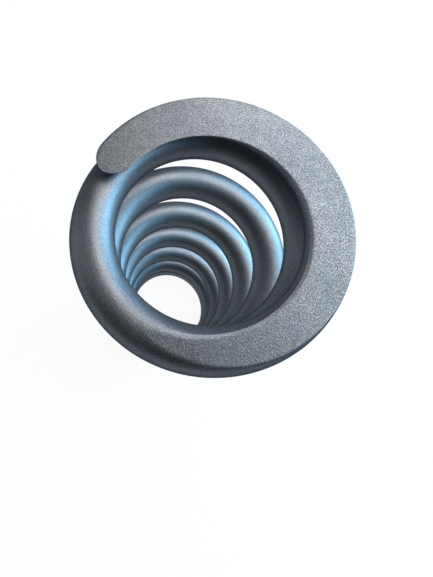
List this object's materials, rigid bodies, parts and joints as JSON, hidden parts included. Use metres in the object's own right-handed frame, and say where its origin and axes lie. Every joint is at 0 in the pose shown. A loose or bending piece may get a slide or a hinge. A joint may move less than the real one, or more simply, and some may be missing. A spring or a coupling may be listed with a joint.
{
  "type": "shock spring",
  "caption": "Right-handed compression coil spring of round titanium wire for a bicycle rear shock, with closed ends ground flat.",
  "frame": {"origin": "middle of the lower ground end, on the coil's axis", "axes": "+Z along the coil's axis, from the lower end to the upper; +X through the start of the lower end's wire"},
  "size_m": [0.051, 0.051, 0.143],
  "materials": {
    "peened_titanium": "dark grey titanium, shot peened to a fine satin grain; the two ground ends are lighter and coarser"
  },
  "bodies": {
    "root": {"coil_spring": "peened_titanium"}
  },
  "joints": []
}
